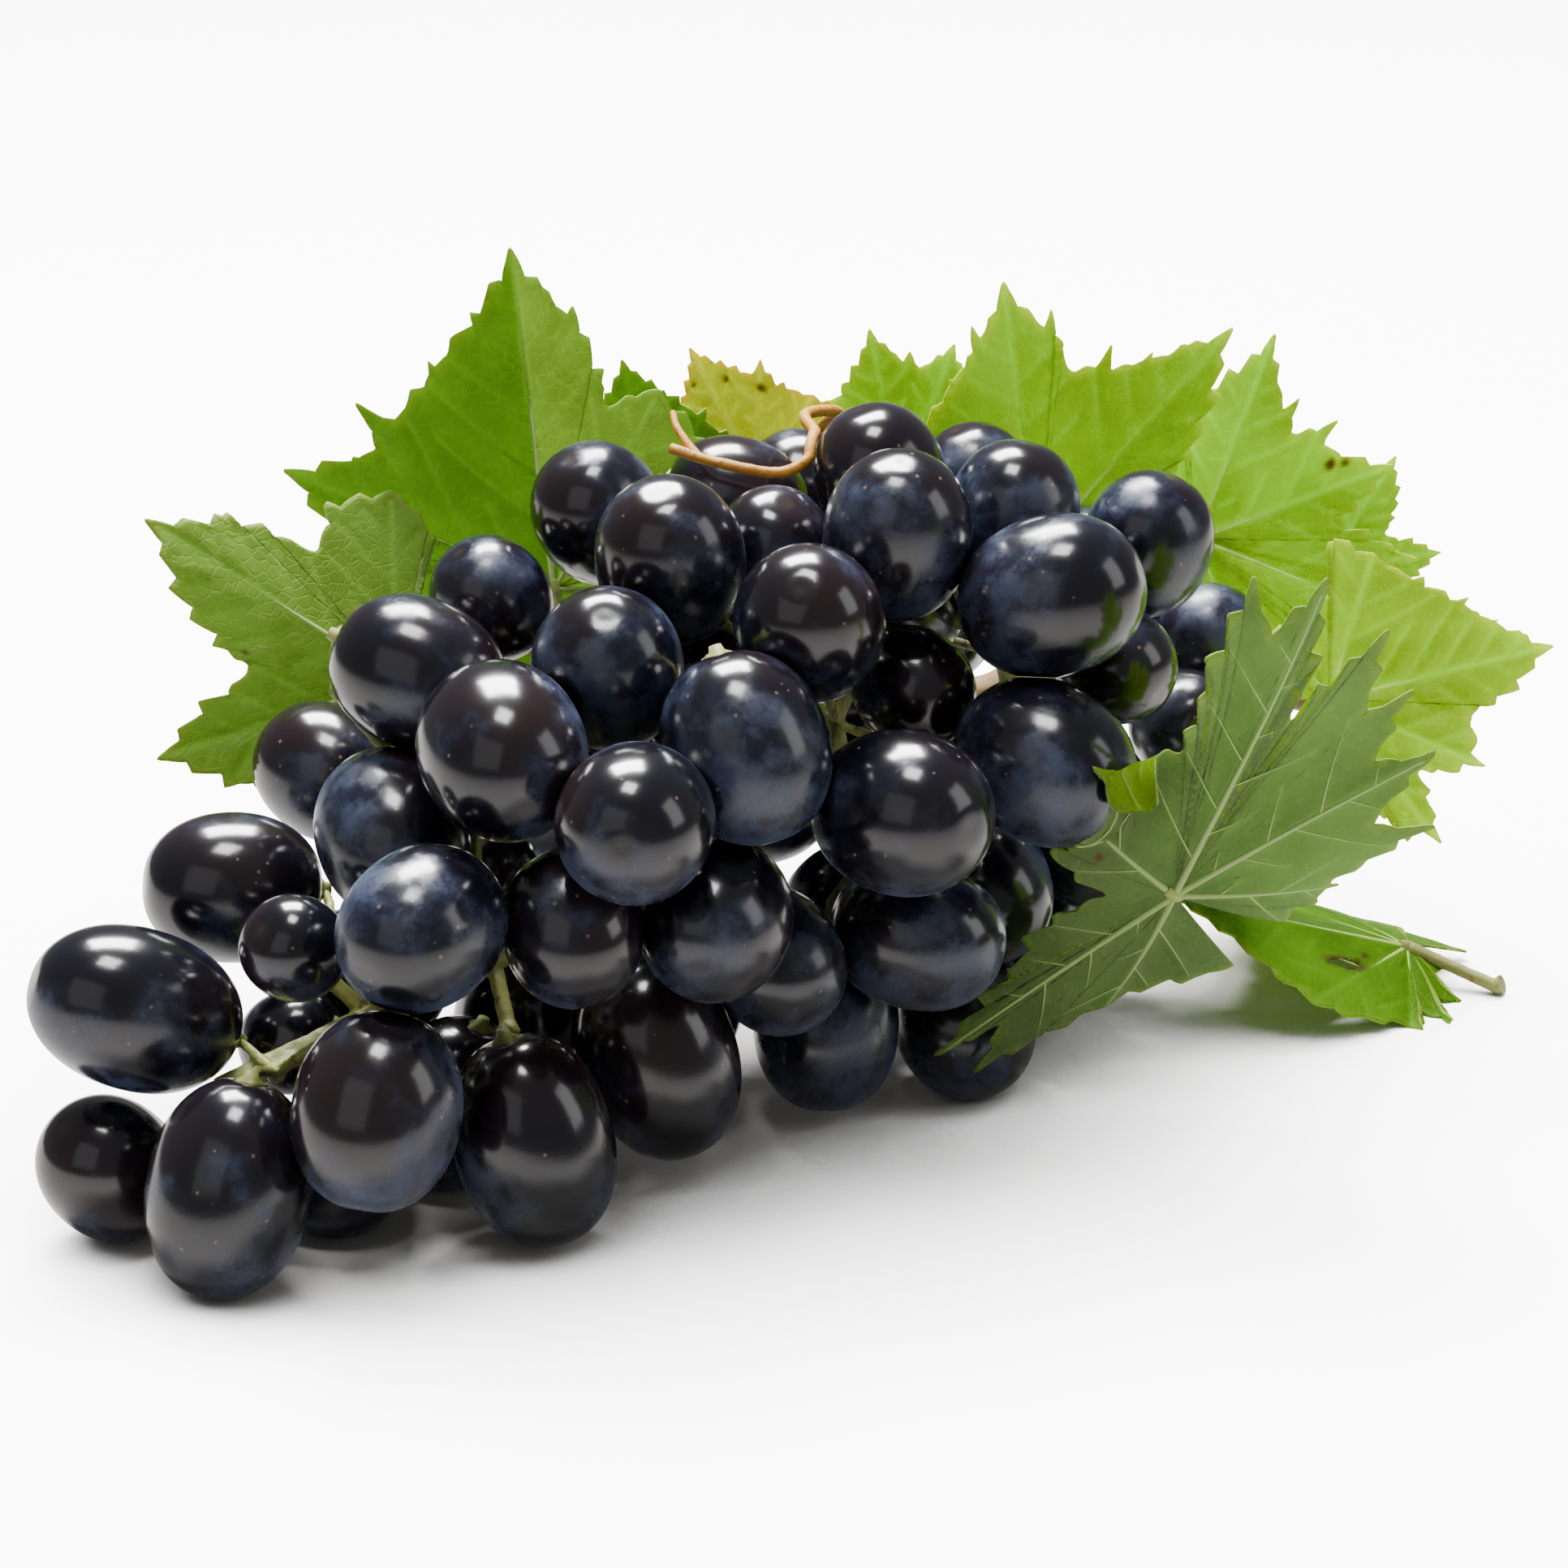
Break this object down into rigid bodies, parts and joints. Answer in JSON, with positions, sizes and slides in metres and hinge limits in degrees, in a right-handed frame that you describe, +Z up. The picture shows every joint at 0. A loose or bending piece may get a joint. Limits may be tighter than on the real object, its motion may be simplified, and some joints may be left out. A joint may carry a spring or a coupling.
{
  "type": "bunch of grapes",
  "caption": "A bunch of blue-black oval table grapes lying on its side, berries on branching stalks, with vine leaves and a curled tendril on a short shoot behind it.",
  "frame": {"origin": "centre of the bounding box at the surface the bunch lies on", "axes": "+X along the bunch from its tip to its shoulder, +Y from the front of the bunch to the leaves behind it, +Z up"},
  "size_m": [0.2138, 0.156, 0.1166],
  "materials": {
    "berry": "dull waxy bloom with rubbed glossy spots",
    "stalk": "fresh green stalk, matte",
    "shoot": "young woody shoot, matte",
    "tendril": "dry tan, matte",
    "leaf": "thin leaf, matte, lets light through"
  },
  "bodies": {
    "root": {"tip_row_berry_1": "berry", "tip_row_berry_2": "berry", "table_row_berry_1": "berry", "table_row_berry_2": "berry", "table_row_berry_3": "berry", "far_row_berry_1": "berry", "far_row_berry_2": "berry", "far_row_berry_3": "berry", "saddle_row_berry_1": "berry", "saddle_row_berry_2": "berry", "low_row_berry_1": "berry", "low_row_berry_2": "berry", "low_row_berry_3": "berry", "low_row_berry_4": "berry", "belly_row_berry_1": "berry", "belly_row_berry_2": "berry", "waist_row_berry_1": "berry", "waist_row_berry_2": "berry", "hip_row_berry_1": "berry", "hip_row_berry_2": "berry", "flank_row_berry_1": "berry", "flank_row_berry_2": "berry", "flank_row_berry_3": "berry", "crest_row_berry_1": "berry", "crest_row_berry_2": "berry", "ridge_row_berry_1": "berry", "ridge_row_berry_2": "berry", "hind_row_berry_1": "berry", "hind_row_berry_2": "berry", "shoulder_row_berry_1": "berry", "shoulder_row_berry_2": "berry", "shoulder_row_berry_3": "berry", "end_row_berry_1": "berry", "end_row_berry_2": "berry", "end_row_berry_3": "berry", "lower_row_berry_1": "berry", "lower_row_berry_2": "berry", "gap_row_berry_1": "berry", "gap_row_berry_2": "berry", "lower_cluster_1": "berry", "lower_cluster_2": "berry", "lower_cluster_3": "berry", "upper_cluster_1": "berry", "upper_cluster_2": "berry", "upper_cluster_3": "berry", "stalk": "stalk", "shoot": "shoot", "tendril": "tendril", "leaf_left": "leaf", "leaf_tall_left": "leaf", "leaf_small_dark": "leaf", "leaf_small_yellow": "leaf", "leaf_small_middle": "leaf", "leaf_bright_left": "leaf", "leaf_bright_right": "leaf", "leaf_bright_hind": "leaf", "leaf_end": "leaf", "leaf_front": "leaf", "leaf_low": "leaf"}
  },
  "joints": []
}
